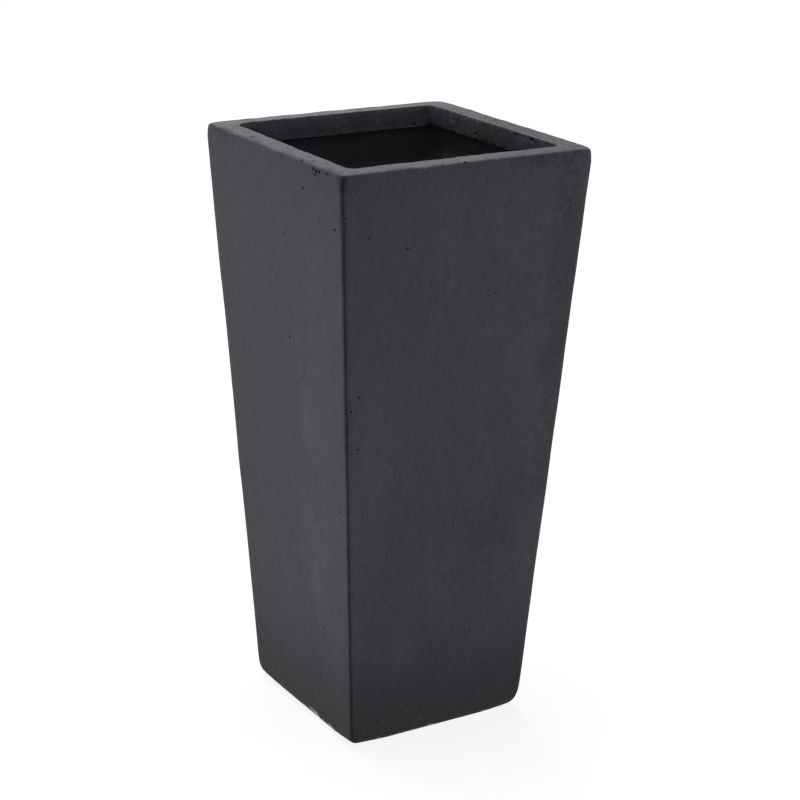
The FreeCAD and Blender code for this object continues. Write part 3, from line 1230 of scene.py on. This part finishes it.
# %% Finish: bare cement and backing
BARE_CEMENT = (0.26, 0.254, 0.245, 1), (0.55, 0.54, 0.525, 1)
DARK_SAND = (0.10, 0.10, 0.10, 1)
TROWELLED = (0.048, 0.0460, 0.0575, 1), (0.082, 0.0790, 0.0960, 1)
LIME = (0.16, 0.158, 0.15, 1)
COARSE_FLECK = (0.12, 0.12, 0.118, 1)
# The holes of the backing are painted this dark, as painted shade.
DEEP_HOLE_SHADE = (0.008, 0.008, 0.008, 1)
PALER_FROM = 0.52  # height above which the backing gets paler

tree, shader, spot = start_finish(bare)
patch = clouds_of(tree, spot, 0.006)
grain = use_group(tree, grain_group, Vector=spot, Size=0.0009, Share=0.25)
colour = cover(tree, blend(tree, patch, *BARE_CEMENT), grain["Fleck"], 0.6, DARK_SAND)
bump = total(tree, (grain["Height"], 0.0004), (patch, 0.0004))
set_finish(tree, shader, colour, spread(tree, patch, 0, 1, 0.82, 0.95), bump, mirror=0.3)
print("bare cement:", len(tree.nodes), "nodes")

dark_backing = bpy.data.materials.new("trowelled_backing")
tree, shader, spot = start_finish(dark_backing)
broad = clouds_of(tree, spot, 0.09)
small = clouds_of(tree, spot, 0.014)
grain = use_group(tree, grain_group, Vector=spot, Size=0.0022, Share=0.06)
hole = use_group(tree, pin_group, Vector=spot, Spacing=0.018, Size=0.0012, Share=0.5)["Hole"]
lime = use_group(tree, wear_group, Vector=spot, Wear=0.22, Length=0.12)["Mask"]
tone = total(tree, (broad, 0.5), (small, 0.3), (grain["Height"], 0.2))
# Painted light near the lip, where the backing lies in the shade of the lip.
paler = spread(tree, height_of(tree, spot), PALER_FROM, lip_under, 0.9, 1.5)
colour = tint(tree, blend(tree, tone, *TROWELLED), paler)
colour = cover(tree, colour, lime, 0.18, LIME)
colour = cover(tree, colour, grain["Fleck"], 0.35, COARSE_FLECK)
# Painted shade in the holes.
colour = blend(tree, hole, colour, DEEP_HOLE_SHADE)
bump = total(tree, (small, 0.0006), (grain["Height"], 0.0005), (hole, -0.001))
set_finish(tree, shader, colour, spread(tree, tone, 0, 1, 0.78, 0.95), bump, mirror=0.3)
print("backing:", len(tree.nodes), "nodes")

# %% [markdown]
# The mats lie inside the wall. They are chopped glass strand: three sets of thin crossed fibres, which
# Wave textures draw on turned coordinates, over a greenish white. The plug is black rubber with a faint
# bloom, and a grain from its mould.

# %% Finish: glass fibre and rubber
GLASS = (0.42, 0.43, 0.38, 1), (0.70, 0.71, 0.66, 1)
RUBBER = (0.015, 0.015, 0.016, 1), (0.030, 0.030, 0.031, 1)
RUBBER_FLECK = (0.08, 0.08, 0.08, 1)
STRAND = {"Scale": 90.0, "Distortion": 6.0, "Detail": 2.0}

glass_fibre = bpy.data.materials.new("glass_mat")
tree, shader, spot = start_finish(glass_fibre)
fibres = None
for turn in (0.4, 1.5, 2.6):
    turned = add_node(tree, "Mapping", {"Vector": spot, "Rotation": (turn, 0.7 * turn, turn)}).outputs[0]
    strand = add_node(tree, "TexWave", {"Vector": turned, **STRAND}).outputs[1]
    strand = spread(tree, strand, 0.75, 0.95)
    fibres = strand if fibres is None else reckon(tree, "MAXIMUM", fibres, strand)
roughness = spread(tree, fibres, 0, 1, 0.75, 0.45)
set_finish(tree, shader, blend(tree, fibres, *GLASS), roughness, times(tree, fibres, 0.0003))
print("glass mat:", len(tree.nodes), "nodes")

black_rubber = bpy.data.materials.new("plug_rubber")
tree, shader, spot = start_finish(black_rubber)
bloom = clouds_of(tree, spot, 0.012)
grain = use_group(tree, grain_group, Vector=spot, Size=0.0005, Share=0.02)
colour = cover(tree, blend(tree, bloom, *RUBBER), grain["Fleck"], 0.3, RUBBER_FLECK)
bump = times(tree, grain["Height"], 0.00006)
set_finish(tree, shader, colour, spread(tree, bloom, 0, 1, 0.50, 0.70), bump, mirror=0.22)
print("rubber:", len(tree.nodes), "nodes")

# %% [markdown]
# Each finish goes on its piece. Each new piece rides on the body that carries it, and takes the place of
# its plain solid. Smooth shading by angle keeps the cut edges of pits and chips crisp.

# %% Dress the pieces
CRISP = math.radians(38)  # edges sharper than this stay crisp


def seat(piece, node, body):
    activate(piece)
    bpy.ops.object.shade_smooth_by_angle(angle=CRISP)
    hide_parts(node)
    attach(piece, body)


give_finish(backing, dark_backing)
give_finish(rim_core, dark_backing)
give_finish(plug, black_rubber)
for name in ("front_mat", "right_mat", "back_mat", "left_mat", "floor_mat"):
    give_finish(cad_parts[name], glass_fibre)

seat(face_coat, "face_coat", "planter")
seat(backing, "backing_coat", "planter")
seat(rim_core, "rim_core", "planter")
seat(plug, "drain_plug", "plug")
print("finishes on the skin:", [slot.material.name for slot in face_coat.material_slots])

# %% [markdown]
# ## Camera
# The camera stands where the photographer stood. Its place was found by matching the corners and edges
# of the planter, and the lens follows from the size of the picture in pixels.

# %% Place the camera
PICTURE_SIDE = 800
FOCAL_PIXELS = 2094.8
SENSOR = 36.0
AIM = Vector((0, 0, 0.300))
DISTANCE, ASIDE, ABOVE = 2.15463, 0.00949, 0.02698
TURN, CLIMB, ROLL = -31.235, 18.544, 1.010  # degrees

turn, climb, roll = (math.radians(angle) for angle in (TURN, CLIMB, ROLL))
back = Vector((math.sin(turn) * math.cos(climb), -math.cos(turn) * math.cos(climb), math.sin(climb)))
level = Vector((math.cos(turn), math.sin(turn), 0))
above = back.cross(level)
right = level * math.cos(roll) + above * math.sin(roll)
up = above * math.cos(roll) - level * math.sin(roll)
stand = AIM + back * DISTANCE + right * ASIDE + up * ABOVE

bpy.ops.object.camera_add(location=stand)
camera = bpy.context.active_object
camera.name = "picture_camera"
axes = Matrix((right, up, back)).transposed().to_4x4()
camera.matrix_world = Matrix.Translation(stand) @ axes
camera.data.sensor_width = SENSOR
camera.data.lens = FOCAL_PIXELS / PICTURE_SIDE * SENSOR
bpy.context.scene.camera = camera
print(f"lens {camera.data.lens:.1f} mm, {stand.length:.2f} m from the origin")

# %% [markdown]
# ## Floor and light
# The planter stands on a plain white sweep. The camera and reflections see the floor almost as bright as
# it can be. Light that bounces sees a grey one, so that the floor doesn't light the planter from below.
# It keeps a soft shadow, because a part of it is an ordinary lit surface.

# %% Lay the floor
FLOOR_SIDE = 14
FLOOR_LIT = (0.24, 0.24, 0.24, 1)  # the part that takes the shadow
FLOOR_DIM = (0.14, 0.14, 0.14, 1)  # what the light that bounces sees


def seen_mask(tree):
    """1 for rays from the camera, from mirrors and through glass, and 0 for other rays."""
    path = add_node(tree, "LightPath").outputs
    seen = reckon(tree, "MAXIMUM", path["Is Camera Ray"], path["Is Glossy Ray"])
    return reckon(tree, "MAXIMUM", seen, path["Is Transmission Ray"])


clear_selection()
bpy.ops.mesh.primitive_plane_add(size=FLOOR_SIDE, location=(0, 0, 0))
studio_floor = bpy.context.active_object
studio_floor.name = studio_floor.data.name = "studio_floor"
paper = bpy.data.materials.new("white_paper")
tree = start_tree(paper)
spot = add_node(tree, "TexCoord").outputs["Object"]
away = add_node(tree, "VectorMath", {0: spot}, operation="LENGTH").outputs["Value"]
lit = add_node(tree, "BsdfDiffuse", {"Color": FLOOR_LIT}).outputs[0]
dim = add_node(tree, "BsdfDiffuse", {"Color": FLOOR_DIM}).outputs[0]
glow = add_node(tree, "Emission", {"Strength": spread(tree, away, 0.3, 2.5, 0.87, 1.0)}).outputs[0]
bright = add_node(tree, "AddShader", {0: lit, 1: glow}).outputs[0]
surface = add_node(tree, "MixShader", {0: seen_mask(tree), 1: dim, 2: bright}).outputs[0]
tree.links.new(surface, add_node(tree, "OutputMaterial").inputs[0])
give_finish(studio_floor, paper)
print("floor:", FLOOR_SIDE, "m wide")

# %% [markdown]
# The light comes from three large soft panels, as in a studio: one high above, which makes the rim the
# brightest part, one far round to the left, and a weaker one to the right. Nothing lights the near
# upright edge head on, so it reads as a dark line between the two walls.

# %% Hang the lamps
def hang_panel(name, azimuth, place, size, power):
    """An area lamp at a place of (distance, height), turned about the planter and facing it."""
    turn = math.radians(azimuth)
    distance, z = place
    stand = Vector((math.sin(turn) * distance, -math.cos(turn) * distance, z))
    facing = stand - Vector((0, 0, min(z, AIM.z)))
    clear_selection()
    bpy.ops.object.light_add(type="AREA", location=stand)
    lamp = bpy.context.active_object
    lamp.name = lamp.data.name = name
    lamp.rotation_mode = "QUATERNION"
    lamp.rotation_quaternion = facing.to_track_quat("Z", "Y")
    lamp.data.shape = "RECTANGLE"
    lamp.data.size, lamp.data.size_y = size
    lamp.data.energy = power
    print(f"{name}: {power} W at {stand.length:.2f} m")


hang_panel("panel_above", 180, (0.30, 1.8), (1.0, 1.0), 25)
hang_panel("panel_left", -125, (4.0, 0.32), (2.4, 0.56), 118)
hang_panel("panel_right", 52, (3.6, 0.32), (2.0, 0.56), 100)

# %% [markdown]
# The room is white for the same rays that see the bright floor, and only a faint glow for all others.

# %% Paint the room
WHITE = (1, 1, 1, 1)
ROOM_GLOW = 0.13

world = bpy.data.worlds.new("white_room")
bpy.context.scene.world = world
tree = start_tree(world)
room = add_node(tree, "Background", {"Color": WHITE, "Strength": ROOM_GLOW}).outputs[0]
white = add_node(tree, "Background", {"Color": WHITE, "Strength": 1.0}).outputs[0]
sky = add_node(tree, "MixShader", {0: seen_mask(tree), 1: room, 2: white}).outputs[0]
tree.links.new(sky, add_node(tree, "OutputWorld").inputs[0])
bpy.context.scene.view_settings.view_transform = "Standard"
print("room:", len(tree.nodes), "nodes")
